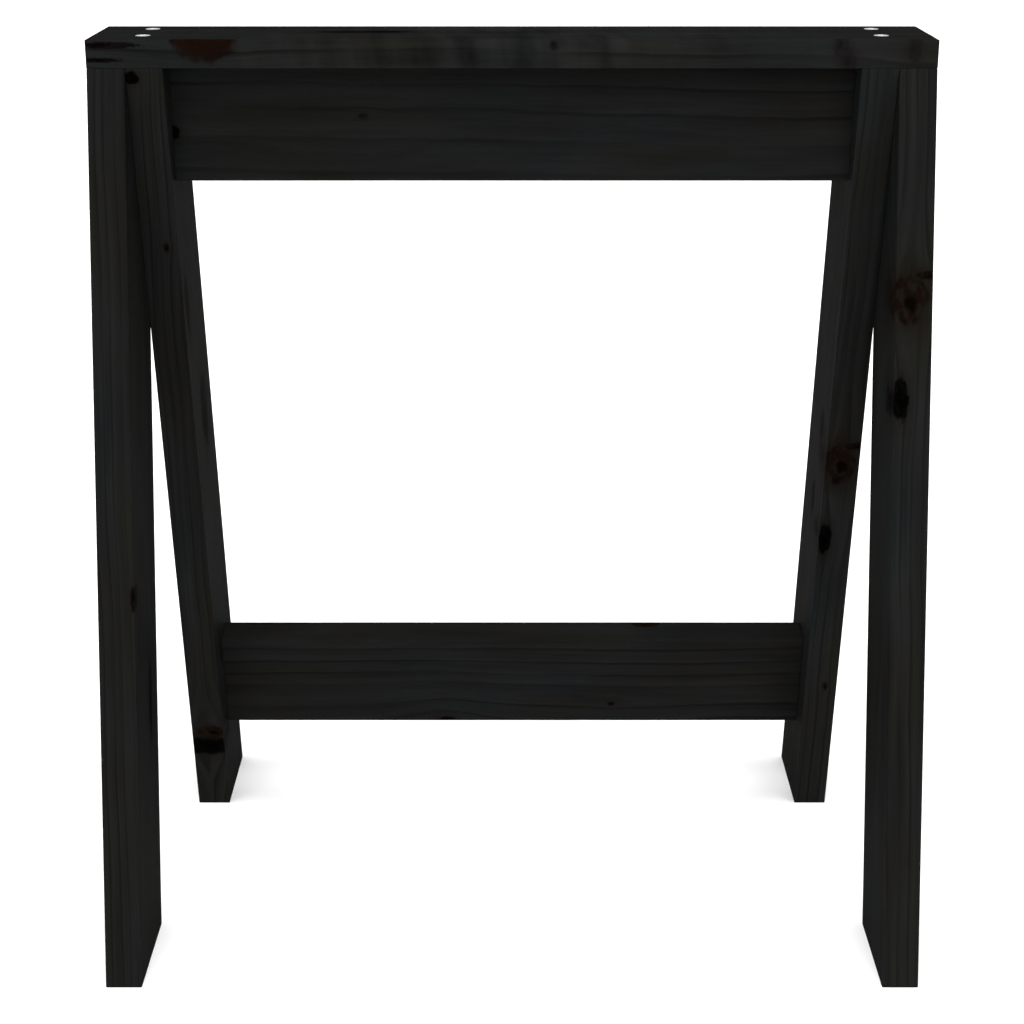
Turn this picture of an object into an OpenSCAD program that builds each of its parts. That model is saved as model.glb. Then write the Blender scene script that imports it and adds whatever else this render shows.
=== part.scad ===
// Sawhorse of stained pine: a flat top board on four leaning legs, braced by two rails.
// Millimetres. The floor is Z = 0, the origin is midway between the feet, +X is to the right,
// -Y is the front and +Z is up.

/* [Trestle] */
// Height from the floor to the top face
trestle_h = 710; // [600:5:850]
// Length of the top board
trestle_l = 630; // [450:5:900]
// Distance from the centre of a front foot to the centre of a back foot
foot_spread = 290; // [200:5:340]

/* [Boards] */
// Width of the top board, and of each leg where it is cut level
board_w = 90; // [84:1:110]
// Thickness of the top board
top_t = 21; // [16:1:28]
// Thickness of the legs and the rails
stock_t = 28; // [26:1:36]
// Height of the rails
rail_h = 90; // [76:1:110]
// Chamfer along the boards' long edges
edge_ease = 0.5; // [0.5:0.5:2]
// Height of the middle of the lower rail above the floor
lower_rail_z = 123; // [100:1:320]

/* [Top screws] */
// Distance from the end of the top board to a screw
screw_end_gap = 38; // [34:1:42]
// Distance between the front and the back screw
screw_pitch = 43; // [36:1:50]
// How far each pair of screws sits behind the middle of the board
screw_back_shift = 5; // [0:1:8]
// Diameter of the screw's shank
screw_d = 6; // [5:0.5:6]
// Diameter of the screw's head
screw_head_d = 11.5; // [10:0.5:12]
// Length of the screw
screw_l = 60; // [50:5:70]

/* [Rail bolts] */
// Distance between the two bolts at a rail's end
bolt_pitch = 44; // [36:1:50]
// Diameter of the bolt's shank
bolt_d = 6; // [5:0.5:7]
// Diameter of the bolt's countersunk head
bolt_head_d = 13; // [11:0.5:14]
// Least distance that a bolt runs into its rail
bolt_reach = 40; // [40:1:50]
// Step in which bolts are sold, to which their length is rounded up
bolt_step = 10; // [5:5:10]
// Distance from the rail's end to the middle of a barrel nut
nut_inset = 34; // [28:1:34]
// Diameter of a barrel nut
nut_d = 10; // [9:0.5:12]
// Length of a barrel nut
nut_l = 18; // [14:1:20]

/* [Dowels] */
// Diameter of a dowel
dowel_d = 8; // [6:1:10]
// Length of a dowel, half in the leg and half in the rail
dowel_l = 36; // [24:2:40]

/* [Hidden] */
SIDES = ["left", "right"];
ROWS = ["front", "back"];
LEVELS = ["high", "low"];
RAILS = ["upper", "lower"];

$fn = 48;

// Legs: the front pair is outermost and the back pair is lapped against its inner faces
leg_top_z = trestle_h - top_t;
foot_y = foot_spread / 2;
lean = atan(foot_y / leg_top_z);
leg_w = board_w * cos(lean);
outer_x = trestle_l / 2;
lap_x = outer_x - stock_t;
rail_end_x = lap_x - stock_t;

// Rails: the upper one stands upright under the board, the lower one lies along the back legs
rail_l = 2 * rail_end_x;
upper_rail_z = leg_top_z - rail_h / 2;
lower_rail_y = foot_y * (1 - lower_rail_z / leg_top_z);

// Hardware
screw_x = outer_x - screw_end_gap;
screw_tip_l = screw_d;
screw_point_d = 0.5;
bolt_tip_ease = 1;
bolt_clear = 0.5;
nut_clear = 0.2;
nut_ease = 0.5;
nut_slot_w = 1.2;
nut_slot_depth = 1.5;
hex_key = 4;
hex_depth = 3;
dowel_ease = 1;
dowel_gap = 1;
// How far a cutting tool runs past the face that it opens
overrun = 1;

stain = "#1e1e1f";
zinc = "#d8dadc";
steel = "#9a9da0";
beech = "#d3b384";

function row_sign(row) = row == "front" ? -1 : 1;
function level_z(level) = (level == "high" ? 1 : -1) * bolt_pitch / 2;
function screw_y(row) = screw_back_shift + row_sign(row) * screw_pitch / 2;
// The upper bolts pass through both legs, the lower ones through the back leg only
function head_x(rail) = rail == "upper" ? outer_x : lap_x;
function bolt_l(rail) = bolt_step * ceil((head_x(rail) - rail_end_x + bolt_reach) / bolt_step);

// ---------- Placing ----------

// Parts are drawn for the right side and mirrored for the left
module on_side(side) {
    if (side == "left") mirror([1, 0, 0]) children();
    else children();
}

// The middle of a rail, with +Z along the rail's height
module at_rail(rail) {
    if (rail == "upper") translate([0, 0, upper_rail_z]) children();
    else translate([0, lower_rail_y, lower_rail_z]) rotate([lean, 0, 0]) children();
}

// The middle of a bolt's head on the right side, with +Z pointing out of the wood
module at_bolt(rail, level) {
    at_rail(rail) translate([head_x(rail), 0, level_z(level)]) rotate([0, 90, 0]) children();
}

module at_top_screw(row) {
    translate([screw_x, screw_y(row), trestle_h]) children();
}

// ---------- Shapes ----------

// A rectangle whose corners are cut by the easing chamfer
module eased_rect(size_x, size_y) {
    x = size_x / 2;
    y = size_y / 2;
    e = edge_ease;
    polygon([
        [x - e, -y], [x, -y + e], [x, y - e], [x - e, y],
        [-x + e, y], [-x, y - e], [-x, -y + e], [-x + e, -y]
    ]);
}

// A board along X, with its thickness along Y and its width along Z
module board(length, thickness, width) {
    rotate([90, 0, 90]) linear_extrude(height = length, center = true) eased_rect(thickness, width);
}

// A countersunk screw or bolt with its head's face at Z = 0 and its shank downwards
module countersunk(d, head_d, length, tip_l, tip_d) {
    head_h = (head_d - d) / 2;
    rotate_extrude() polygon([
        [0, 0],
        [head_d / 2, 0],
        [d / 2, -head_h],
        [d / 2, -length + tip_l],
        [tip_d / 2, -length],
        [0, -length]
    ]);
}

// The hexagonal recess for the key
module hex_socket() {
    translate([0, 0, -hex_depth]) cylinder(h = hex_depth + overrun, d = hex_key / cos(30), $fn = 6);
}

// The hole that a countersunk head and its shank need, opening upwards at Z = 0
module countersunk_hole(d, head_d, depth) {
    head_h = (head_d - d) / 2;
    translate([0, 0, -head_h]) cylinder(h = head_h, d1 = d, d2 = head_d);
    cylinder(h = overrun, d = head_d);
    translate([0, 0, -depth]) cylinder(h = depth, d = d);
}

module bolt_hole(rail) {
    countersunk_hole(bolt_d + bolt_clear, bolt_head_d, bolt_l(rail) + dowel_gap);
}

// A round peg along X with chamfered ends
module peg(d, length, ease) {
    rotate([0, 90, 0]) rotate_extrude() polygon([
        [0, -length / 2],
        [d / 2 - ease, -length / 2],
        [d / 2, -length / 2 + ease],
        [d / 2, length / 2 - ease],
        [d / 2 - ease, length / 2],
        [0, length / 2]
    ]);
}

// The hole for a dowel, centred on the face where a leg meets a rail
module dowel_hole(rail) {
    hole_l = dowel_l + 2 * dowel_gap;
    at_rail(rail) translate([rail_end_x - hole_l / 2, 0, 0]) rotate([0, 90, 0]) cylinder(h = hole_l, d = dowel_d);
}

// The blind hole for a barrel nut, opening at the rail's back face
module nut_hole(level) {
    depth = stock_t / 2 + nut_l / 2;
    translate([rail_end_x - nut_inset, -nut_l / 2, level_z(level)])
        rotate([-90, 0, 0]) cylinder(h = depth + overrun, d = nut_d + nut_clear);
}

// ---------- Wooden parts ----------

module top_board() {
    color(stain) difference() {
        translate([0, 0, trestle_h - top_t / 2]) board(trestle_l, board_w, top_t);
        for (side = SIDES, row = ROWS)
            on_side(side) at_top_screw(row) countersunk_hole(screw_d, screw_head_d, top_t + overrun);
    }
}

// A leg that leans to the back, trimmed level at the floor and under the top board
module leg_blank() {
    intersection() {
        translate([0, foot_y / 2, leg_top_z / 2])
            rotate([lean, 0, 0])
                linear_extrude(height = leg_top_z / cos(lean) + 2 * leg_w, center = true)
                    eased_rect(stock_t, leg_w);
        translate([-stock_t, -foot_spread, 0]) cube([2 * stock_t, 3 * foot_spread, leg_top_z]);
    }
}

module front_leg(side) {
    color(stain) on_side(side) difference() {
        translate([lap_x + stock_t / 2, 0, 0]) mirror([0, 1, 0]) leg_blank();
        for (level = LEVELS) at_bolt("upper", level) bolt_hole("upper");
    }
}

module back_leg(side) {
    color(stain) on_side(side) difference() {
        translate([rail_end_x + stock_t / 2, 0, 0]) leg_blank();
        for (rail = RAILS) {
            for (level = LEVELS) at_bolt(rail, level) bolt_hole(rail);
            dowel_hole(rail);
        }
        for (row = ROWS) at_top_screw(row) top_screw_body();
    }
}

module rail(name) {
    color(stain) difference() {
        at_rail(name) board(rail_l, stock_t, rail_h);
        for (side = SIDES) on_side(side) {
            for (level = LEVELS) {
                at_bolt(name, level) bolt_hole(name);
                at_rail(name) nut_hole(level);
            }
            dowel_hole(name);
        }
    }
}

module dowel(name, side) {
    color(beech) on_side(side) at_rail(name) translate([rail_end_x, 0, 0]) peg(dowel_d, dowel_l, dowel_ease);
}

// ---------- Metal parts ----------

module top_screw_body() {
    countersunk(screw_d, screw_head_d, screw_l, screw_tip_l, screw_point_d);
}

module top_screw(side, row) {
    color(zinc) on_side(side) at_top_screw(row) difference() {
        top_screw_body();
        hex_socket();
    }
}

module rail_bolt(name, side, level) {
    color(zinc) on_side(side) at_bolt(name, level) difference() {
        countersunk(bolt_d, bolt_head_d, bolt_l(name), bolt_tip_ease, bolt_d - 2 * bolt_tip_ease);
        hex_socket();
    }
}

// A round nut that lies across the rail, with its thread across it and a slot in its back end
module barrel_nut(name, side, level) {
    place = [rail_end_x - nut_inset, 0, level_z(level)];
    slot = [2 * nut_d, 2 * nut_slot_depth, nut_slot_w];
    color(steel) on_side(side) at_rail(name) translate(place) difference() {
        rotate([0, 0, 90]) peg(nut_d, nut_l, nut_ease);
        rotate([0, 90, 0]) cylinder(h = 2 * nut_d, d = bolt_d, center = true);
        translate([0, nut_l / 2, 0]) cube(slot, center = true);
    }
}

// ---------- Drawing ----------

top_board();
for (name = RAILS) {
    rail(name);
}
for (side = SIDES) {
    front_leg(side);
    back_leg(side);
}
for (side = SIDES, row = ROWS) {
    top_screw(side, row);
}
for (name = RAILS, side = SIDES, level = LEVELS) {
    rail_bolt(name, side, level);
    barrel_nut(name, side, level);
}
for (name = RAILS, side = SIDES) {
    dowel(name, side);
}
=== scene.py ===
"""Sawhorse of black-stained pine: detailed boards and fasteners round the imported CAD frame."""

import math
from collections import namedtuple

import bmesh
import bpy
from mathutils import Matrix, Vector, noise


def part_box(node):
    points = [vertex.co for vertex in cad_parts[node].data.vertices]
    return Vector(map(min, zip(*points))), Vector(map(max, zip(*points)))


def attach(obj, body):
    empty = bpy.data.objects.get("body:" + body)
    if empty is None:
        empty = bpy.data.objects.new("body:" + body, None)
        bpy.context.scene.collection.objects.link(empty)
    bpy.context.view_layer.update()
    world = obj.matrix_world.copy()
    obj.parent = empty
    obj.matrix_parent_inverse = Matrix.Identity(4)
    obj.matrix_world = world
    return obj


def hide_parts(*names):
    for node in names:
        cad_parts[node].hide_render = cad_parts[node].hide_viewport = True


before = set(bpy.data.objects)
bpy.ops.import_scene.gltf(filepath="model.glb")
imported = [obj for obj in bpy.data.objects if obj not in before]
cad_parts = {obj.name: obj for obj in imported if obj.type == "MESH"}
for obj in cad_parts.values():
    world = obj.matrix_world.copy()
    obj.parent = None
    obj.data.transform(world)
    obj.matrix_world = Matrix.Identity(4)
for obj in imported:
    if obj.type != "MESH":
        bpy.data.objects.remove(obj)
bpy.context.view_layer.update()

MM = 0.001
SIDES = ("left", "right")
ROWS = ("front", "back")
LEVELS = ("high", "low")
RAILS = ("upper", "lower")

# Hardware sizes that the node boxes don't give, in millimetres
SCREW_D = 6.0
SCREW_SHANK_D = 4.6
SCREW_CORE_D = 4.0
SCREW_PITCH = 2.6
SCREW_SMOOTH = 16.0
SCREW_TAPER = 9.0
SCREW_TIP_R = 0.25
BOLT_D = 6.0
BOLT_CORE_D = 4.8
BOLT_PITCH = 1.25
BOLT_THREADED = 30.0
BOLT_TIP_R = 2.0
BOLT_TIP_H = 0.8
BOLT_HOLE_D = 6.5
NUT_HOLE_D = 10.2
NUT_SLOT_W = 1.2
NUT_SLOT_H = 3.0
NUT_EASE = 0.5
DOWEL_D = 8.0
DOWEL_GAP = 1.0
DOWEL_FLUTES = 12
DOWEL_GROOVE = 0.25
DOWEL_CHAMFER = 1.0
HEX_KEY = 4.0
HEX_DEPTH = 3.0


# ---------- Sizes read from the frame, in millimetres ----------

def box_mm(node):
    """A node's lowest and highest corners at rest, in millimetres."""
    low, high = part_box(node)
    return Vector(low) / MM, Vector(high) / MM


def middle(node):
    low, high = box_mm(node)
    return (low + high) / 2


def extent(node):
    low, high = box_mm(node)
    return high - low


TOP = extent("top_board")
LEG = extent("front_leg_right")
RAIL = extent("upper_rail")
BOARD_W = TOP.y
STOCK_T = LEG.x
LEG_TOP_Z = LEG.z
FOOT_Y = LEG.y - BOARD_W
LEAN = math.atan2(FOOT_Y, LEG_TOP_Z)
LEG_W = BOARD_W * math.cos(LEAN)


# ---------- Boards ----------

# A knot: its middle in the board's own millimetres, the axis that its branch grew along ("y" through
# the width or "z" through the thickness), its radius, how much longer it is along the grain, how deep
# it goes, its kind and how strongly the grain bends round it.
Knot = namedtuple("Knot", "x y z axis radius stretch reach kind bend")

# Curly figure: bands across the grain round a place along the board.
Curl = namedtuple("Curl", "x spread strength")

# A board: node, the two ends as (place along the grain, slope across the width), width, thickness,
# placing matrix in millimetres, pith place across the board, ring width, drift of the rings along the
# grain, seed, a factor that darkens the whole board's colour, its knots and its curly figure.
Board = namedtuple("Board", "node start end width thickness place pith ring drift seed tone knots curl",
                   defaults=(None,))

# The rounding of the long edges, the easing of the saw cuts, the mesh's cell and the distance that
# still counts as touching, in millimetres, and the steps round each rounded corner
ARRIS = 0.6
END_EASE = 0.3
CELL = 6.0
TOUCH = 0.01
CORNER_STEPS = 4

# Planing waves and dings, in millimetres: their size along and across the grain and their depth. A
# ding shows where its noise passes DING_FROM.
WAVE_LENGTH, WAVE_WIDTH, RELIEF = 90, 22, 0.14
DING_LENGTH, DING_WIDTH, DING = 14, 40, 0.22
DING_FROM = 0.3


def into_mesh(work, name):
    """The mesh data made from a bmesh, which it frees."""
    made = bpy.data.meshes.new(name)
    work.to_mesh(made)
    work.free()
    return made


def section_ring(width, thickness):
    """The board's cross-section as (y, z, arris) points: arris is 1 in the middle of a rounded corner."""
    half_y, half_z = width / 2 - ARRIS, thickness / 2 - ARRIS
    corners = (1, 1), (-1, 1), (-1, -1), (1, -1)
    walks = (-1, 0), (0, -1), (1, 0), (0, 1)
    points = []
    for quarter, ((sy, sz), walk) in enumerate(zip(corners, walks)):
        for i in range(CORNER_STEPS + 1):
            share = i / CORNER_STEPS
            a = math.radians(90 * (quarter + share))
            corner_y, corner_z = sy * half_y + ARRIS * math.cos(a), sz * half_z + ARRIS * math.sin(a)
            points.append((corner_y, corner_z, 1 - abs(2 * share - 1)))
        flat = 2 * (half_y if quarter % 2 == 0 else half_z)
        steps = max(2, round(flat / CELL))
        y, z, _ = points[-1]
        for i in range(1, steps):
            points.append((y + walk[0] * flat * i / steps, z + walk[1] * flat * i / steps, 0.0))
    return points


def board_relief(x, y, z, arris, board):
    """How far the surface sits under the planed size, in millimetres.

    Each board reads the noise at a place of its own, set by its seed.
    """
    at = Vector((x / WAVE_LENGTH + 7.3 * board.seed, y / WAVE_WIDTH, z / WAVE_WIDTH))
    depth = RELIEF * (0.5 + 0.5 * noise.noise(at))
    if arris > 0:
        at = Vector((x / DING_LENGTH - 3.1 * board.seed, y / DING_WIDTH, z / DING_WIDTH + 5))
        depth += arris * DING * max(0.0, noise.noise(at) - DING_FROM)
    return depth


def board_mesh(board):
    """The board as one closed mesh in its own frame: grain along X, width along Y, thickness along Z."""
    ring = section_ring(board.width, board.thickness)
    (x0, slope0), (x1, slope1) = board.start, board.end
    count = round((x1 - x0) / CELL)
    shares = [i / count for i in range(count + 1)]
    mesh = bmesh.new()
    rows = []
    for at_end, share in [(True, 0.0), *[(False, s) for s in shares], (True, 1.0)]:
        # The saw cuts are eased: the two end rows are pulled in, and the rows next to them stand back
        pull, inset = (END_EASE, 0.0) if at_end else (0.0, END_EASE)
        row = []
        for y, z, arris in ring:
            y_in = y - math.copysign(min(pull, abs(y)), y)
            z_in = z - math.copysign(min(pull, abs(z)), z)
            depth = board_relief(x0 + (x1 - x0) * share, y, z, arris, board)
            sink = Vector((y_in, z_in)).normalized() * depth
            if arris == 0.0:
                on_edge = abs(abs(y) - board.width / 2) < TOUCH
                sink = Vector((math.copysign(depth, y), 0) if on_edge else (0, math.copysign(depth, z)))
            y_sunk, z_sunk = y_in - sink.x, z_in - sink.y
            # The end planes slope, so the end rows follow the sunk surface and stay in their planes
            low, high = x0 + slope0 * y_sunk, x1 + slope1 * y_sunk
            x = low + inset + (high - low - 2 * inset) * share
            row.append(mesh.verts.new((x, y_sunk, z_sunk)))
        rows.append(row)
    size = len(ring)
    for a, b in zip(rows, rows[1:]):
        for i in range(size):
            j = (i + 1) % size
            mesh.faces.new((a[i], b[i], b[j], a[j]))
    mesh.faces.new(rows[0])
    mesh.faces.new(rows[-1][::-1])
    bmesh.ops.recalc_face_normals(mesh, faces=mesh.faces)
    bmesh.ops.transform(mesh, matrix=Matrix.Scale(MM, 4) @ turn_of(board.place), verts=mesh.verts)
    return into_mesh(mesh, board.node + "_wood")


def new_object(name, mesh, matrix):
    made = bpy.data.objects.new(name, mesh)
    bpy.context.scene.collection.objects.link(made)
    made.matrix_world = matrix
    return made


def turn_of(place):
    return place.to_3x3().to_4x4()


def in_metres(place):
    """A placing matrix whose translation is in millimetres, turned into metres."""
    return Matrix.Translation(place.translation * MM) @ turn_of(place)


def revolved(profile, segments=40):
    """A closed mesh turned about Z from (radius, z) points in millimetres, with both ends on the axis."""
    mesh = bmesh.new()
    rings = []
    for radius, z in profile:
        if radius == 0:
            rings.append([mesh.verts.new((0, 0, z * MM))])
            continue
        turns = [math.tau * i / segments for i in range(segments)]
        around = [(radius * math.cos(a), radius * math.sin(a)) for a in turns]
        rings.append([mesh.verts.new((x * MM, y * MM, z * MM)) for x, y in around])
    for a, b in zip(rings, rings[1:]):
        join_rings(mesh, a, b)
    bmesh.ops.recalc_face_normals(mesh, faces=mesh.faces)
    return into_mesh(mesh, "cutter")


def join_rings(mesh, a, b):
    """Faces between two rings of vertices, either of which may be a single point."""
    size = max(len(a), len(b))
    for i in range(size):
        j = (i + 1) % size
        corners = [a[i % len(a)], a[j % len(a)], b[j % len(b)], b[i % len(b)]]
        mesh.faces.new(list(dict.fromkeys(corners)))


def cut_holes(piece, cutters):
    """Takes each (mesh, world matrix) out of the piece and keeps the result as its mesh."""
    tools = []
    for index, (mesh, matrix) in enumerate(cutters):
        tool = new_object(f"{piece.name}_tool_{index}", mesh, matrix)
        tools.append(tool)
        step = piece.modifiers.new(tool.name, "BOOLEAN")
        step.operation = "DIFFERENCE"
        step.solver = "MANIFOLD"
        step.object = tool
    bpy.context.view_layer.update()
    graph = bpy.context.evaluated_depsgraph_get()
    cut = bpy.data.meshes.new_from_object(piece.evaluated_get(graph))
    piece.modifiers.clear()
    piece.data = cut
    for tool in tools:
        bpy.data.objects.remove(tool)


CRISP_ANGLE = 32


def dress(piece, material):
    """Smooth shading that stays crisp across edges sharper than the angle, and the piece's material."""
    piece.data.shade_smooth()
    piece.data.set_sharp_from_angle(angle=math.radians(CRISP_ANGLE))
    piece.data.materials.clear()
    piece.data.materials.append(material)


# ---------- Places of the hardware ----------

OUT_X = Matrix.Rotation(math.radians(90), 4, "Y")
OUT_LEFT = Matrix.Rotation(math.radians(-90), 4, "Y")


def axis_place(position, turn):
    return Matrix.Translation(position) @ turn


def top_screw_place(node):
    """The middle of the screw head's face, with +Z out of the wood."""
    low, high = box_mm(node)
    return Matrix.Translation(((low.x + high.x) / 2, (low.y + high.y) / 2, high.z))


def bolt_place(node, side):
    """The middle of the bolt head's face, with +Z out of the wood."""
    low, high = box_mm(node)
    centre = (low + high) / 2
    if side == "right":
        return axis_place((high.x, centre.y, centre.z), OUT_X)
    return axis_place((low.x, centre.y, centre.z), OUT_LEFT)


def rail_turn(rail):
    return Matrix.Rotation(LEAN if rail == "lower" else 0.0, 4, "X")


def nut_place(node, rail):
    """The middle of the barrel nut, with +Z towards the rail's back face."""
    to_back = Matrix.Rotation(math.radians(-90), 4, "X")
    return Matrix.Translation(middle(node)) @ rail_turn(rail) @ to_back


def nut_size(side, level):
    """A barrel nut's size, from the upper nut, because the lower nut's box is wider for its tilt."""
    return extent(f"upper_nut_{side}_{level}")


def hole_profile(head_d, shank_d, depth):
    """The cutter for a countersunk head and its shank, opening upwards at Z = 0."""
    over = 2.0
    head, shank, head_h = head_d / 2, shank_d / 2, (head_d - shank_d) / 2
    return [(0, over), (head, over), (head, 0), (shank, -head_h), (shank, -depth), (0, -depth)]


def rod_profile(diameter, low, high):
    return [(0, high), (diameter / 2, high), (diameter / 2, low), (0, low)]


def screw_holes(sides=SIDES):
    cutters = []
    for side in sides:
        for row in ROWS:
            node = f"top_screw_{side}_{row}"
            size = extent(node)
            profile = hole_profile(size.x, SCREW_D, size.z)
            cutters.append((revolved(profile), in_metres(top_screw_place(node))))
    return cutters


def bolt_holes(rail, sides=SIDES):
    cutters = []
    for side in sides:
        for level in LEVELS:
            node = f"{rail}_bolt_{side}_{level}"
            size = extent(node)
            profile = hole_profile(size.y, BOLT_HOLE_D, size.x + DOWEL_GAP)
            cutters.append((revolved(profile), in_metres(bolt_place(node, side))))
    return cutters


def nut_holes(rail):
    cutters = []
    for side in SIDES:
        for level in LEVELS:
            node = f"{rail}_nut_{side}_{level}"
            profile = rod_profile(NUT_HOLE_D, -nut_size(side, level).y / 2, STOCK_T)
            cutters.append((revolved(profile), in_metres(nut_place(node, rail))))
    return cutters


def dowel_holes(rail, sides=SIDES):
    cutters = []
    for side in sides:
        node = f"dowel_{rail}_{side}"
        reach = extent(node).x / 2 + DOWEL_GAP
        place = axis_place(middle(node), OUT_X)
        cutters.append((revolved(rod_profile(DOWEL_D, -reach, reach)), in_metres(place)))
    return cutters


# ---------- Shader formulas ----------

class Num:
    """A number worked out by shader nodes, so that the patterns below read as formulas."""

    def __init__(self, tree, socket):
        self.tree = tree
        self.socket = socket

    def op(self, kind, *others):
        node = self.tree.nodes.new("ShaderNodeMath")
        node.operation = kind
        for slot, value in zip(node.inputs, (self, *others)):
            connect(self.tree, slot, value)
        return Num(self.tree, node.outputs[0])

    def __add__(self, other):
        return self.op("ADD", other)

    def __sub__(self, other):
        return self.op("SUBTRACT", other)

    def __rsub__(self, other):
        return (self * -1.0) + other

    def __mul__(self, other):
        return self.op("MULTIPLY", other)

    def __truediv__(self, other):
        return self.op("DIVIDE", other)

    __radd__ = __add__

    def size(self):
        return self.op("ABSOLUTE")

    def root(self):
        return self.op("SQRT")

    def step(self, low, high):
        """0 below low and 1 above high, with a soft rise between them."""
        node = self.tree.nodes.new("ShaderNodeMapRange")
        node.interpolation_type = "SMOOTHSTEP"
        for slot, value in zip(node.inputs, (self, low, high)):
            connect(self.tree, slot, value)
        return Num(self.tree, node.outputs[0])

    def bell(self, width):
        """1 at zero, falling away to nothing past about twice the width."""
        share = self / width
        return (share * share * -1.0).op("EXPONENT")


def connect(tree, slot, value):
    if isinstance(value, Num):
        tree.links.new(value.socket, slot)
    elif isinstance(value, bpy.types.NodeSocket):
        tree.links.new(value, slot)
    else:
        slot.default_value = value


def new_material(name):
    made = bpy.data.materials.new(name)
    made.use_nodes = True
    tree = made.node_tree
    return made, tree, tree.nodes["Principled BSDF"]


def local_mm(tree, turn=Matrix.Identity(3)):
    """The point's place along the turn's three columns from its object's middle, in millimetres."""
    coords = tree.nodes.new("ShaderNodeTexCoord")
    numbers = []
    for axis in turn.transposed():
        node = tree.nodes.new("ShaderNodeVectorMath")
        node.operation = "DOT_PRODUCT"
        tree.links.new(coords.outputs["Object"], node.inputs[0])
        node.inputs[1].default_value = axis / MM
        numbers.append(Num(tree, node.outputs["Value"]))
    return numbers


def cloud(x, y, z, detail=2.0, roughness=0.5):
    """Smooth noise from 0 to 1 at a point given by three numbers."""
    tree = x.tree
    point = tree.nodes.new("ShaderNodeCombineXYZ")
    for slot, value in zip(point.inputs, (x, y, z)):
        connect(tree, slot, value)
    node = tree.nodes.new("ShaderNodeTexNoise")
    node.inputs["Scale"].default_value = 1.0
    node.inputs["Detail"].default_value = detail
    node.inputs["Roughness"].default_value = roughness
    tree.links.new(point.outputs[0], node.inputs["Vector"])
    return Num(tree, node.outputs[0])


def blend(tree, share, first, second):
    """A colour between two colours."""
    node = tree.nodes.new("ShaderNodeMix")
    node.data_type = "RGBA"
    node.clamp_factor = True
    connect(tree, node.inputs["Factor"], share)
    for slot, value in zip([s for s in node.inputs if s.type == "RGBA"], (first, second)):
        connect(tree, slot, (*value, 1.0) if isinstance(value, tuple) else value)
    return [s for s in node.outputs if s.type == "RGBA"][0]


def rgb(tree, colour):
    node = tree.nodes.new("ShaderNodeCombineColor")
    for slot, value in zip(node.inputs, colour):
        slot.default_value = value
    return node.outputs[0]


def shade_by(tree, colour, amount):
    """The colour times a number."""
    node = tree.nodes.new("ShaderNodeVectorMath")
    node.operation = "SCALE"
    tree.links.new(colour, node.inputs[0])
    connect(tree, node.inputs["Scale"], amount)
    return node.outputs[0]


def add_bump(tree, shader, height_mm):
    """Fine relief from a height in millimetres."""
    node = tree.nodes.new("ShaderNodeBump")
    node.inputs["Strength"].default_value = 1.0
    node.inputs["Distance"].default_value = MM
    connect(tree, node.inputs["Height"], height_mm)
    tree.links.new(node.outputs[0], shader.inputs["Normal"])


# ---------- Black-stained pine ----------

CHARCOAL = (0.0083, 0.0084, 0.0083)
OLIVE = (0.0080, 0.0079, 0.0067)
BLUE_GREY = (0.0075, 0.0084, 0.0086)
PURPLE = (0.0080, 0.0072, 0.0077)
LATEWOOD = (0.0030, 0.0029, 0.0026)
WORN = (0.0128, 0.0112, 0.0094)

# How far apart along the noise the boards lie, in millimetres
SEED_STEP = 61.7

# Growth rings: how far the pith wanders across and through the board, in millimetres, and, in rings,
# how much the rings waver and how uneven their widths are
WANDER_Y, WANDER_Z = 11.0, 7.0
RING_WAVER = 0.14
RING_UNEVEN = 0.75

# A growth line: how many millimetres it takes to darken, at most what share of its ring that is, where
# in the ring it is darkest and starts to end, and how dark it is when faint and how much more when strong
LINE_RISE = 2.6
LINE_RISE_SHARE = 0.23
LINE_DARKEST, LINE_ENDS = 0.93, 0.95
LINE_FAINT, LINE_STRONG = 0.12, 0.88

# How much of the latewood's colour a line takes, how much more per millimetre of ring width, and how
# much a resin fleck takes
LINE_SHARE, LINE_SHARE_PER_MM, FLECK_SHARE = 0.60, 0.012, 0.35

# The stain's tone: where it starts, and what the uneven take-up, the fine stripes and broad bands along
# the rings, the fibres and each ring's own darkening add to it or take away
TONE_START = 0.72
PATCH_TONE, STRIPE_TONE, BAND_TONE, FIBRE_TONE, RING_TONE = 0.46, 0.52, 0.55, 0.34, 0.12

# Where stain is rubbed off the arrises: how far in from the edge, in millimetres, and how much
RUB_WIDTH, RUB_SHARE = 1.4, 0.4

# A knot, in shares of its radius: how ragged it is, where its heart ends, where its bark ring lies and
# how wide it is, where its darkest spot lies and ends, and where the stained wood round it ends
KNOT_RAGGED, PUPIL_RAGGED = 0.75, 0.9
HEART_EDGE = (0.80, 1.08)
BARK_AT, BARK_WIDTH = 0.98, 0.13
PUPIL_U, PUPIL_V = -0.22, 0.12
PUPIL_EDGE = (0.16, 0.52)
HALO_EDGE = (0.85, 2.3)

# How much of a bark ring and of a darkest spot shows
BARK_SHARE, PUPIL_SHARE = 0.85, 0.85

# What a kind of knot looks like: its heart, its bark ring, the darkest spot in it, the stained wood
# round it, the shares of the heart and of the stained wood that show, and how much the stained wood
# shows in patches through the heart.
Kind = namedtuple("Kind", "heart bark pupil halo heart_share halo_share patchy")

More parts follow.
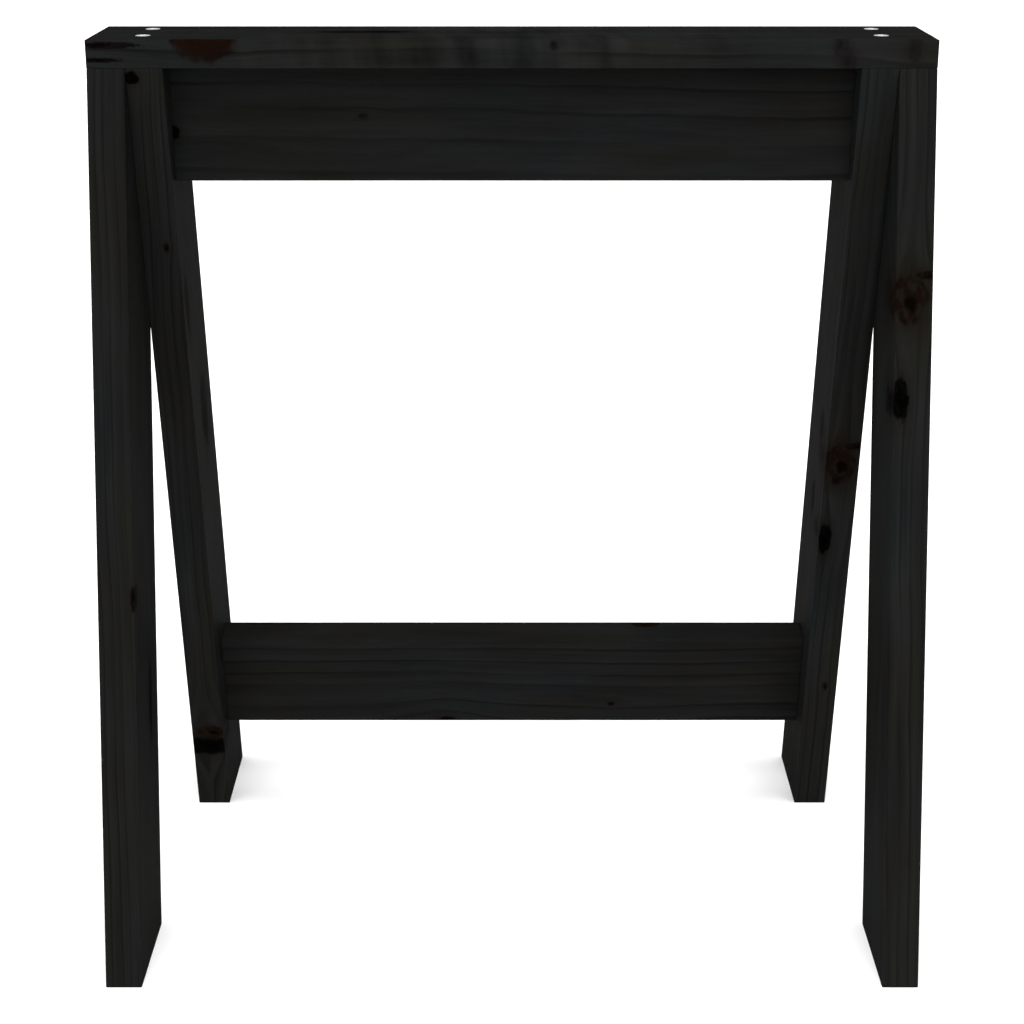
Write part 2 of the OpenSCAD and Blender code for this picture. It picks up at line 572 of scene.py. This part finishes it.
KINDS = {
    "black": Kind((0.0002, 0.0002, 0.0002), (0.0001, 0.0001, 0.0001), (0.0001, 0.0001, 0.0001),
                  (0.0046, 0.0041, 0.0031), 0.98, 0.5, 0.16),
    "red": Kind((0.0040, 0.0017, 0.0013), (0.0017, 0.0008, 0.0006), (0.0006, 0.0001, 0.0001),
                (0.0052, 0.0042, 0.0028), 0.88, 0.8, 0.85),
    "rust": Kind((0.0044, 0.0016, 0.0009), (0.0024, 0.0011, 0.0008), (0.0026, 0.0010, 0.0006),
                 (0.0060, 0.0054, 0.0044), 0.96, 0.15, 0.05),
    "wine": Kind((0.0014, 0.0006, 0.0007), (0.0020, 0.0012, 0.0013), (0.0004, 0.0002, 0.0002),
                 (0.0058, 0.0046, 0.0050), 0.9, 0.35, 0.2),
    "slit": Kind((0.0002, 0.0002, 0.0002), (0.0003, 0.0003, 0.0003), (0.0001, 0.0001, 0.0001),
                 (0.0052, 0.0050, 0.0043), 0.94, 0.25, 0.0),
    "faint": Kind((0.0030, 0.0026, 0.0024), (0.0028, 0.0024, 0.0022), (0.0014, 0.0012, 0.0011),
                  (0.0050, 0.0044, 0.0042), 0.62, 0.5, 0.3),
    "smear": Kind((0.0040, 0.0034, 0.0034), (0.0046, 0.0040, 0.0040), (0.0034, 0.0028, 0.0028),
                  (0.0056, 0.0049, 0.0047), 0.55, 0.45, 0.4),
    "brow": Kind((0.0017, 0.0010, 0.0006), (0.0013, 0.0008, 0.0005), (0.0007, 0.0004, 0.0003),
                 (0.0054, 0.0040, 0.0026), 0.9, 0.7, 0.4),
}


def knot_field(x, y, z, knot):
    """What a knot does at the point: the grain's shift, and how much heart, bark, pupil and halo shows."""
    along = x - knot.x
    across, deep = (y - knot.y, z - knot.z) if knot.axis == "z" else (z - knot.z, y - knot.y)
    near = 1.0 - deep.size().step(knot.reach * 0.6, knot.reach)
    grit = 1.6 + knot.radius * 0.8
    ragged = cloud(x / grit, (y + knot.x) / grit, z / grit, 3.0, 0.6) - 0.5
    u, v = along / (knot.radius * knot.stretch), across / knot.radius
    spread = (u * u + v * v).root() + ragged * KNOT_RAGGED
    heart = (1.0 - spread.step(*HEART_EDGE)) * near
    broken = cloud(x / (grit * 1.6), y / grit, (z + knot.x) / grit, 1.0).step(0.38, 0.58)
    bark = (spread - BARK_AT).bell(BARK_WIDTH) * near * broken
    u_off, v_off = u - PUPIL_U, v - PUPIL_V
    off_pupil = (u_off * u_off + v_off * v_off).root() + ragged * PUPIL_RAGGED
    pupil = (1.0 - off_pupil.step(*PUPIL_EDGE)) * near
    halo = (1.0 - spread.step(*HALO_EDGE)) * near
    side = across / (across.size() + 0.5 * knot.radius)
    swell = along.bell(knot.radius * (2.0 + 1.4 * knot.stretch)) * across.bell(knot.radius * 3.6)
    return side * swell * near * (knot.bend * knot.radius), heart, bark, pupil, halo


def stained_pine(board):
    """Flat-sawn pine under a thin black stain, with growth rings round a pith outside the board.

    The numbers that divide a place inside cloud() are the size of its shapes, in millimetres.
    """
    made, tree, shader = new_material("stained_pine_" + board.node)
    x, y, z = local_mm(tree, board.place.to_3x3())
    seed = SEED_STEP * board.seed
    sx = x + seed

    # Growth rings: the distance from a wandering pith, bent round every knot
    wander_y = (cloud(sx / 210.0, y / 90.0, z / 90.0, 1.0) - 0.5) * WANDER_Y
    wander_z = (cloud(sx / 160.0, z / 90.0, y / 90.0, 1.0) - 0.5) * WANDER_Z
    grain_y, grain_z = y + wander_y, z + wander_z
    layers = []
    for knot in board.knots:
        shift, *cover = knot_field(x, y, z, knot)
        if knot.axis == "z":
            grain_y = grain_y - shift
        else:
            grain_z = grain_z - shift
        layers.append((KINDS[knot.kind], cover))
    from_y, from_z = grain_y - board.pith[0], grain_z - board.pith[1]
    ring = ((from_y * from_y + from_z * from_z).root() + x * board.drift) / board.ring
    ring = ring + (cloud(sx / 40.0, y / 10.0, z / 10.0, 2.0) - 0.5) * RING_WAVER
    ring = ring + (cloud(ring * 0.7, 3.1 * board.seed, 0.5, 0.0) - 0.5) * RING_UNEVEN
    part, year = ring.op("FRACT"), ring.op("FLOOR")
    strength = cloud(year * 0.731 + board.seed, sx / 190.0, 0.5, 1.0).step(0.32, 0.64)
    rise = min(LINE_RISE_SHARE, LINE_RISE / board.ring)
    line = part.step(LINE_DARKEST - rise, LINE_DARKEST) * (1.0 - part.step(LINE_ENDS, 1.0))
    line = line * (LINE_FAINT + strength * LINE_STRONG)
    stripes = cloud(ring * 6.5, sx / 75.0, y / 60.0, 3.0, 0.62)
    bands = cloud(ring * 1.6 + 4.0, sx / 170.0, board.seed, 1.0)

    # Fibres, resin flecks and the uneven take-up of the stain
    fibre = cloud(sx / 22.0, y / 0.5, z / 0.5, 3.0, 0.6)
    fleck = cloud(sx / 7.0, y / 0.9, z / 0.9, 1.0).step(0.715, 0.76)
    patch = cloud(sx / 120.0, y / 30.0, z / 30.0, 3.0)
    tint = cloud(sx / 130.0 + 9.0, y / 34.0, z / 34.0, 2.0)
    mottle = cloud(sx / 7.0, y / 4.5, z / 4.5, 2.0).step(0.47, 0.60)
    blush = cloud(sx / 120.0 - 5.0, y / 36.0, z / 36.0, 1.0)

    colour = blend(tree, tint.step(0.50, 0.66), CHARCOAL, OLIVE)
    colour = blend(tree, 1.0 - tint.step(0.34, 0.48), colour, BLUE_GREY)
    colour = blend(tree, blush.step(0.58, 0.72) * 0.6, colour, PURPLE)
    tone = TONE_START + patch * PATCH_TONE + (stripes - 0.5) * STRIPE_TONE
    tone = tone + (fibre - 0.5) * FIBRE_TONE - part * RING_TONE + (bands - 0.5) * BAND_TONE
    if board.curl:
        curls = cloud(x / 14.0 + (y + z) / 110.0 + seed, y / 80.0, z / 50.0, 2.0, 0.6)
        broad = cloud(x / 36.0 + z / 90.0, y / 80.0, seed, 1.0)
        figure = curls - 0.5 + (broad - 0.5) * 0.9
        tone = tone + figure * (x - board.curl.x).bell(board.curl.spread) * board.curl.strength
    colour = shade_by(tree, colour, tone * board.tone)
    late = line * (LINE_SHARE + LINE_SHARE_PER_MM * board.ring) + fleck * FLECK_SHARE
    colour = blend(tree, late, colour, LATEWOOD)

    # The relief in millimetres, and the knots laid over the wood
    height = (fibre - 0.5) * 0.05 + (stripes - 0.5) * 0.03 - line * 0.035 - fleck * 0.05
    cracks = 0.62 + fibre * 0.5 + (stripes - 0.5) * 0.7
    for kind, (heart, bark, pupil, halo) in layers:
        stained = shade_by(tree, rgb(tree, kind.halo), cracks)
        inner = shade_by(tree, rgb(tree, kind.heart), cracks)
        inner = blend(tree, mottle * kind.patchy, inner, stained)
        colour = blend(tree, halo * kind.halo_share, colour, stained)
        colour = blend(tree, heart * kind.heart_share, colour, inner)
        colour = blend(tree, bark * BARK_SHARE, colour, kind.bark)
        colour = blend(tree, pupil * PUPIL_SHARE, colour, kind.pupil)
        height = height - bark * 0.09 - pupil * 0.05 + heart * 0.03

    # Stain rubbed thin along the arrises
    edge_y = board.width / 2 - y.size()
    edge_z = board.thickness / 2 - z.size()
    arris = (1.0 - edge_y.step(0.0, RUB_WIDTH)) * (1.0 - edge_z.step(0.0, RUB_WIDTH))
    rub = cloud(sx / 11.0, y / 3.0, z / 3.0, 3.0).step(0.54, 0.74)
    colour = blend(tree, arris * rub * RUB_SHARE, colour, WORN)

    tree.links.new(colour, shader.inputs["Base Color"])
    roughness = 0.78 + (fibre - 0.5) * 0.22 + (patch - 0.5) * 0.14 - line * 0.08
    connect(tree, shader.inputs["Roughness"], roughness)
    shader.inputs["Specular IOR Level"].default_value = 0.004
    add_bump(tree, shader, height)
    return made


# ---------- The boards of the sawhorse ----------

def turned(columns, origin):
    """A placing matrix from the board's grain, width and thickness directions and its middle."""
    turn = Matrix(columns).transposed().to_4x4()
    return Matrix.Translation(origin) @ turn


def flat_board(node, pith, ring, drift, seed, tone, knots, curl):
    size = extent(node)
    place = turned(((1, 0, 0), (0, 1, 0), (0, 0, 1)), middle(node))
    ends = (-size.x / 2, 0), (size.x / 2, 0)
    return Board(node, *ends, size.y, size.z, place, pith, ring, drift, seed, tone, knots, curl)


def rail_board(rail, pith, ring, drift, seed, tone, knots):
    """A rail on edge: its width runs up and its thickness runs to the front."""
    node = rail + "_rail"
    turn = rail_turn(rail).to_3x3()
    up, front = turn @ Vector((0, 0, 1)), turn @ Vector((0, -1, 0))
    place = turned(((1, 0, 0), up, front), middle(node))
    ends = (-RAIL.x / 2, 0), (RAIL.x / 2, 0)
    return Board(node, *ends, RAIL.z, RAIL.y, place, pith, ring, drift, seed, tone, knots)


def leg_board(row, side, pith, ring, drift, seed, tone, knots):
    """A leg trimmed level at both ends: its grain runs up and its width runs to the front."""
    node = f"{row}_leg_{side}"
    back = 1 if row == "back" else -1
    slant = -back * math.sin(LEAN)
    grain = Vector((0, slant, math.cos(LEAN)))
    width = Vector((1, 0, 0)).cross(grain)
    centre = middle(node)
    place = turned((grain, width, (1, 0, 0)), (centre.x, back * FOOT_Y / 2, LEG_TOP_Z / 2))
    half = LEG_TOP_Z / 2 / math.cos(LEAN)
    slope = back * math.tan(LEAN)
    ends = (-half, slope), (half, slope)
    return Board(node, *ends, LEG_W, STOCK_T, place, pith, ring, drift, seed, tone, knots)


FRONT_EDGE = LEG_W / 2
TOP_FRONT = -BOARD_W / 2

BOARDS = [
    flat_board("top_board", (38, -64), 12.0, 0.012, 1, 0.90, [
        Knot(-227, TOP_FRONT, 13, "y", 18, 1.3, 6, "rust", 0.3),
        Knot(-111, 6, 10.5, "z", 9, 4.0, 12, "wine", 0.4),
        Knot(-97, 7, 10.5, "z", 5, 3.4, 12, "slit", 0.2),
        Knot(-298, TOP_FRONT, 6.5, "y", 2.4, 9, 10, "wine", 0.4),
        Knot(-304, TOP_FRONT, -4.5, "y", 1.6, 9, 10, "wine", 0.4),
        Knot(31, TOP_FRONT, 7, "y", 3.4, 0.8, 9, "faint", 0.8),
        Knot(243, TOP_FRONT, 7, "y", 10, 0.5, 9, "smear", 0.3),
        Knot(249, TOP_FRONT, -6, "y", 9, 0.55, 9, "smear", 0.3),
        Knot(297, TOP_FRONT, 3, "y", 11, 0.5, 9, "smear", 0.3),
        Knot(150, 24, -10.5, "z", 9, 1.5, 18, "black", 0.8),
    ], Curl(-10, 190, 1.15)),
    rail_board("upper", (-98, -30), 19, 0.010, 2, 0.74, [
        Knot(-257, -8, 12, "z", 5.5, 0.7, 26, "black", 0.8),
        Knot(-113, 5, 14, "z", 2.2, 1.6, 20, "faint", 1.0),
        Knot(142, 16, -14, "z", 9, 1.4, 20, "black", 1.0),
    ]),
    rail_board("lower", (-92, -36), 14, -0.002, 3, 0.83, [
        Knot(-61, -62, 0, "z", 14, 1.2, 40, "black", 1.0),
        Knot(-59, -47, 14, "z", 6, 1.5, 24, "black", 0.8),
        Knot(121, 45, -11, "y", 4.5, 2.6, 9, "rust", 0.8),
        Knot(90, -25.5, 14, "z", 2.0, 1.6, 18, "wine", 1.0),
    ]),
    leg_board("front", "left", (14, -84), 6.6, 0.010, 4, 0.79, [
        Knot(-92, 8, -14, "z", 10, 1.5, 20, "red", 0.9),
        Knot(-55, FRONT_EDGE, 13, "y", 2.0, 5.0, 14, "wine", 0.8),
        Knot(-150, -14, 14, "z", 5, 6.0, 10, "brow", 0.5),
    ]),
    leg_board("front", "right", (-16, 88), 7.0, -0.009, 5, 0.85, [
        Knot(173, FRONT_EDGE, -3, "y", 13, 1.35, 46, "red", 0.9),
        Knot(190, FRONT_EDGE, 10, "y", 10, 0.34, 30, "brow", 0.3),
        Knot(96, FRONT_EDGE, -9, "y", 6, 2.6, 34, "black", 0.9),
        Knot(-150, -10, 14, "z", 9, 1.4, 20, "black", 0.9),
    ]),
    leg_board("back", "left", (18, 80), 7.2, 0.012, 6, 0.88, [
        Knot(-275, FRONT_EDGE, 0, "y", 17, 0.62, 40, "black", 1.0),
        Knot(-260, FRONT_EDGE, 3, "y", 12, 0.42, 30, "red", 0.6),
        Knot(354, FRONT_EDGE, -9, "y", 5.5, 0.9, 30, "black", 0.6),
        Knot(45, -6, 14, "z", 13, 2.5, 14, "black", 0.6),
        Knot(160, 29, 14, "z", 8, 3.0, 14, "black", 0.6),
        Knot(216, FRONT_EDGE, 4.6, "y", 1.8, 1.8, 16, "brow", 0.8),
        Knot(-120, -8, -14, "z", 9, 1.4, 20, "red", 0.9),
    ]),
    leg_board("back", "right", (-12, -86), 7.0, -0.010, 7, 0.90, [
        Knot(20, FRONT_EDGE, -2, "y", 12, 1.35, 46, "red", 0.8),
        Knot(37, FRONT_EDGE, 10, "y", 9, 0.34, 30, "brow", 0.3),
        Knot(-54, FRONT_EDGE, -9, "y", 5.5, 2.7, 34, "black", 0.9),
        Knot(39, 12, -14, "z", 9, 1.6, 12, "wine", 0.6),
        Knot(-40, 0, -14, "z", 6, 3.0, 10, "slit", 0.6),
        Knot(-209, FRONT_EDGE, 3.6, "y", 1.8, 2.0, 16, "brow", 0.8),
        Knot(210, -8, 14, "z", 10, 1.4, 20, "black", 0.9),
    ]),
]


def holes_for(node):
    """Every hole in a board, as cutters."""
    if node == "top_board":
        return screw_holes()
    if node.endswith("_rail"):
        rail = node[: -len("_rail")]
        return bolt_holes(rail) + nut_holes(rail) + dowel_holes(rail)
    row, _, side = node.split("_")
    if row == "front":
        return bolt_holes("upper", [side])
    both = [hole for rail in RAILS for hole in bolt_holes(rail, [side]) + dowel_holes(rail, [side])]
    return both + screw_holes([side])


def make_board(board):
    where = Matrix.Translation(board.place.translation * MM)
    piece = new_object(board.node + "_wood", board_mesh(board), where)
    cut_holes(piece, holes_for(board.node))
    dress(piece, stained_pine(board))
    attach(piece, "root")
    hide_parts(board.node)


for board in BOARDS:
    make_board(board)


# ---------- Screws, bolts, nuts and dowels ----------

TURN_SEGMENTS = 36

# The rounding of a head's face and of its key socket's mouth, in millimetres
LIP = 0.25

# How many rings a thread has in each turn, and half its ridge's width as a share of the pitch
THREAD_STEPS = 8
RIDGE_SHARE = 0.32


def ringed_mesh(name, rings):
    """A closed mesh through rings of (radius at an angle, z), in millimetres, capped at both ends."""
    mesh = bmesh.new()
    angles = [math.tau * i / TURN_SEGMENTS for i in range(TURN_SEGMENTS)]
    rows = [[mesh.verts.new((0, 0, rings[0][1] * MM))]]
    for radius, z in rings:
        row = []
        for a in angles:
            r = radius(a) * MM
            row.append(mesh.verts.new((r * math.cos(a), r * math.sin(a), z * MM)))
        rows.append(row)
    rows.append([mesh.verts.new((0, 0, rings[-1][1] * MM))])
    for a, b in zip(rows, rows[1:]):
        join_rings(mesh, a, b)
    bmesh.ops.recalc_face_normals(mesh, faces=mesh.faces)
    return into_mesh(mesh, name)


def round_ring(radius):
    return lambda a: radius


def hex_ring(across_flats):
    """The radius of a hexagon at an angle."""
    sixth = math.radians(60)
    return lambda a: across_flats / 2 / math.cos((a + sixth / 2) % sixth - sixth / 2)


def socket_head_rings(head_d, shank_d):
    """From the bottom of the key socket, over the head's face and down its cone to the shank."""
    return [
        (hex_ring(HEX_KEY - 0.6), -HEX_DEPTH),
        (hex_ring(HEX_KEY), -HEX_DEPTH + 0.4),
        (hex_ring(HEX_KEY), -LIP),
        (hex_ring(HEX_KEY + 2 * LIP), 0),
        (round_ring(head_d / 2 - 2 * LIP), 0),
        (round_ring(head_d / 2 - LIP / 2), -LIP / 3),
        (round_ring(head_d / 2 - LIP / 2), -LIP),
        (round_ring(shank_d / 2), -(head_d - shank_d) / 2),
    ]


def thread_rings(major_d, minor_d, pitch, top, bottom, taper):
    """A helical thread down to the bottom, where the last stretch tapers away unless the taper is 0."""
    rings = []
    count = math.ceil((top - bottom) / pitch * THREAD_STEPS)
    for i in range(1, count):
        z = top + (bottom - top) * i / count
        fade = min(1.0, (top - z) / pitch, (z - bottom) / pitch)
        narrow = min(1.0, (z - bottom) / taper) if taper else 1.0

        def radius(a, z=z, fade=fade, narrow=narrow):
            turn = (z / pitch - a / math.tau) % 1.0
            ridge = max(0.0, 1 - abs(turn - 0.5) / RIDGE_SHARE)
            core = minor_d / 2 * (0.25 + 0.75 * narrow)
            return min(major_d / 2, core + (major_d - minor_d) / 2 * ridge * fade * (0.3 + 0.7 * narrow))

        rings.append((radius, z))
    return rings


def wood_screw_mesh(head_d, length):
    """A countersunk screw with a smooth shank and a thread that tapers to its tip."""
    rings = socket_head_rings(head_d, SCREW_SHANK_D)
    rings.append((round_ring(SCREW_SHANK_D / 2), -SCREW_SMOOTH))
    rings += thread_rings(SCREW_D, SCREW_CORE_D, SCREW_PITCH, -SCREW_SMOOTH, -length, SCREW_TAPER)
    rings.append((round_ring(SCREW_TIP_R), -length + 0.05))
    return ringed_mesh("wood_screw", rings)


def bolt_mesh(head_d, length):
    """A countersunk bolt, threaded over its last stretch and chamfered at its tip."""
    top, bottom = -length + BOLT_THREADED, -length + BOLT_TIP_H
    rings = socket_head_rings(head_d, BOLT_D)
    rings.append((round_ring(BOLT_D / 2), top))
    rings += thread_rings(BOLT_D, BOLT_CORE_D, BOLT_PITCH, top, bottom, 0.0)
    rings.append((round_ring(BOLT_TIP_R), -length))
    return ringed_mesh("rail_bolt", rings)


def dowel_mesh(length):
    """A fluted dowel with chamfered ends."""
    half, radius = length / 2, DOWEL_D / 2
    tip = round_ring(radius - DOWEL_CHAMFER)

    def fluted(a):
        return radius - DOWEL_GROOVE * max(0.0, math.cos(DOWEL_FLUTES * a))

    shoulder = half - DOWEL_CHAMFER
    return ringed_mesh("dowel", [(tip, half), (fluted, shoulder), (fluted, -shoulder), (tip, -half)])


def barrel_nut_mesh(diameter, length):
    """A turned barrel with rounded ends, before its slot and cross hole are cut."""
    half, radius = length / 2, diameter / 2
    upper = [
        (round_ring(radius - NUT_EASE), half),
        (round_ring(radius - 0.15), half - 0.15 * NUT_EASE),
        (round_ring(radius), half - NUT_EASE),
    ]
    return ringed_mesh("barrel_nut", upper + [(ring, -z) for ring, z in reversed(upper)])


def box_mesh(size):
    mesh = bmesh.new()
    bmesh.ops.create_cube(mesh, size=1.0)
    bmesh.ops.scale(mesh, vec=Vector(size) * MM, verts=mesh.verts)
    return into_mesh(mesh, "cutter")


def plated_steel(name, tone, metallic, marks):
    """Plated steel with turning marks round its axis, faint mottling and rub marks."""
    made, tree, shader = new_material(name)
    x, y, z = local_mm(tree)
    radius = (x * x + y * y).root()
    turning = cloud(radius / 0.12, z / 0.12, 0.5, 2.0)
    mottle = cloud(x / 1.4, y / 1.4, z / 1.4, 3.0)
    rub = cloud(x / 0.25, y / 2.2, z / 0.6, 2.0).step(0.60, 0.72)
    dull = tuple(0.72 * c for c in tone)
    colour = blend(tree, mottle.step(0.35, 0.75) * 0.45, tone, dull)
    colour = blend(tree, rub * 0.35, colour, tuple(min(1.0, 1.12 * c) for c in tone))
    tree.links.new(colour, shader.inputs["Base Color"])
    shader.inputs["Metallic"].default_value = metallic
    connect(tree, shader.inputs["Roughness"], 0.34 + (mottle - 0.5) * 0.25 + (turning - 0.5) * 0.18)
    add_bump(tree, shader, (turning - 0.5) * marks + (mottle - 0.5) * 0.01)
    return made


def turned_beech(name):
    """Pale turned hardwood with short rays and fine lines along the peg."""
    made, tree, shader = new_material(name)
    x, y, z = local_mm(tree)
    fibre = cloud(x / 0.35, y / 0.35, z / 14.0, 3.0)
    ray = cloud(x / 0.5, y / 0.5, z / 2.2, 1.0).step(0.62, 0.70)
    colour = blend(tree, fibre.step(0.3, 0.7), (0.60, 0.43, 0.26), (0.50, 0.34, 0.19))
    colour = blend(tree, ray * 0.6, colour, (0.36, 0.22, 0.12))
    tree.links.new(colour, shader.inputs["Base Color"])
    connect(tree, shader.inputs["Roughness"], 0.62 + (fibre - 0.5) * 0.2)
    add_bump(tree, shader, (fibre - 0.5) * 0.05)
    return made


SCREW_ZINC = plated_steel("zinc_screw", (0.54, 0.55, 0.56), 0.45, 0.012)
BOLT_ZINC = plated_steel("zinc_bolt", (0.42, 0.43, 0.44), 0.8, 0.012)
NUT_STEEL = plated_steel("nut_steel", (0.30, 0.30, 0.31), 0.9, 0.02)
BEECH = turned_beech("beech_dowel")


def add_hardware(node, mesh, place, material):
    piece = new_object(node + "_detail", mesh, in_metres(place))
    dress(piece, material)
    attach(piece, "root")
    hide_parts(node)
    return piece


for side in SIDES:
    for row in ROWS:
        node = f"top_screw_{side}_{row}"
        size = extent(node)
        screw = wood_screw_mesh(size.x, size.z)
        add_hardware(node, screw, top_screw_place(node), SCREW_ZINC)
    for rail in RAILS:
        for level in LEVELS:
            node = f"{rail}_bolt_{side}_{level}"
            size = extent(node)
            bolt = bolt_mesh(size.y, size.x)
            add_hardware(node, bolt, bolt_place(node, side), BOLT_ZINC)

            node = f"{rail}_nut_{side}_{level}"
            nut = nut_size(side, level)
            place = nut_place(node, rail)
            piece = add_hardware(node, barrel_nut_mesh(nut.x, nut.y), place, NUT_STEEL)
            slot_place = in_metres(place @ Matrix.Translation((0, 0, nut.y / 2)))
            across = in_metres(place @ OUT_X)
            cut_holes(piece, [
                (box_mesh((2 * nut.x, NUT_SLOT_W, NUT_SLOT_H)), slot_place),
                (revolved(rod_profile(BOLT_D, -nut.x, nut.x)), across),
            ])
            dress(piece, NUT_STEEL)
        node = f"dowel_{rail}_{side}"
        add_hardware(node, dowel_mesh(extent(node).x), axis_place(middle(node), OUT_X), BEECH)


# ---------- Stage, light and camera ----------

# In metres, so that the floor's edge lies far behind the object
FLOOR_RADIUS = 40.0
FLOOR_LIGHT, FLOOR_DARK = (0.92, 0.92, 0.92), (0.88, 0.88, 0.88)


def studio_floor():
    """A pale, faintly mottled floor."""
    mesh = bmesh.new()
    bmesh.ops.create_circle(mesh, cap_ends=True, segments=96, radius=FLOOR_RADIUS)
    made = into_mesh(mesh, "floor")
    floor = new_object("floor", made, Matrix.Identity(4))
    material, tree, shader = new_material("floor_paint")
    x, y, z = local_mm(tree)
    mottle = cloud(x / 420.0, y / 420.0, z, 2.0)
    tree.links.new(blend(tree, mottle, FLOOR_LIGHT, FLOOR_DARK), shader.inputs["Base Color"])
    shader.inputs["Roughness"].default_value = 0.9
    shader.inputs["Specular IOR Level"].default_value = 0.1
    made.materials.append(material)


# The dome: where it is brightest, its strength on the far side and how much it gains, and how nearly a
# direction has to agree with the brightest one for the gain to start and to be whole
LIGHT_FROM = Vector((0, -0.55, 0.84)).normalized()
DOME_BASE, DOME_GAIN = 0.28, 3.1
DOME_EDGE = (0.15, 0.95)


def studio_world():
    """A white backdrop for the camera, and a dome of light that is brightest above and in front."""
    world = bpy.data.worlds.new("studio")
    bpy.context.scene.world = world
    world.use_nodes = True
    tree = world.node_tree
    back = tree.nodes["Background"]
    coords = tree.nodes.new("ShaderNodeTexCoord")
    facing = tree.nodes.new("ShaderNodeVectorMath")
    facing.operation = "DOT_PRODUCT"
    tree.links.new(coords.outputs["Generated"], facing.inputs[0])
    facing.inputs[1].default_value = LIGHT_FROM
    dome = Num(tree, facing.outputs["Value"]).step(*DOME_EDGE)
    seen = Num(tree, tree.nodes.new("ShaderNodeLightPath").outputs["Is Camera Ray"])
    back.inputs["Color"].default_value = (1.0, 1.0, 1.0, 1.0)
    lit = DOME_BASE + dome * DOME_GAIN
    connect(tree, back.inputs["Strength"], lit * (1.0 - seen) + seen)


def softbox(name, position, target, size, power):
    light = bpy.data.lights.new(name, "AREA")
    light.shape = "RECTANGLE"
    light.size, light.size_y = size
    light.energy = power
    piece = bpy.data.objects.new(name, light)
    bpy.context.scene.collection.objects.link(piece)
    piece.location = position
    piece.rotation_euler = (Vector(target) - Vector(position)).to_track_quat("-Z", "Y").to_euler()


# The photograph was taken from in front and above, level and with a large lens shift. That much shift
# would put the object outside the views from other sides, so this camera tilts down and shifts little.
# Places are in metres, the tilt is in degrees, and the focal length and the shift are shares of the frame.
CAMERA_Y = -1.49
CAMERA_Z = 0.882
CAMERA_PITCH = 17.57
FOCAL_SHARE = 1.896
CAMERA_SHIFT = -0.10


def photo_camera():
    data = bpy.data.cameras.new("camera")
    data.sensor_width = 36.0
    data.lens = FOCAL_SHARE * data.sensor_width
    data.shift_y = CAMERA_SHIFT
    data.clip_start, data.clip_end = 0.05, 100.0
    camera = bpy.data.objects.new("camera", data)
    bpy.context.scene.collection.objects.link(camera)
    camera.location = (0, CAMERA_Y, CAMERA_Z)
    camera.rotation_euler = (math.radians(90 - CAMERA_PITCH), 0, 0)
    bpy.context.scene.camera = camera


studio_floor()
studio_world()
softbox("key", position=(0, -2.6, 1.6), target=(0, 0, 0.35), size=(3.0, 1.6), power=12)
photo_camera()
bpy.context.scene.view_settings.view_transform = "Standard"
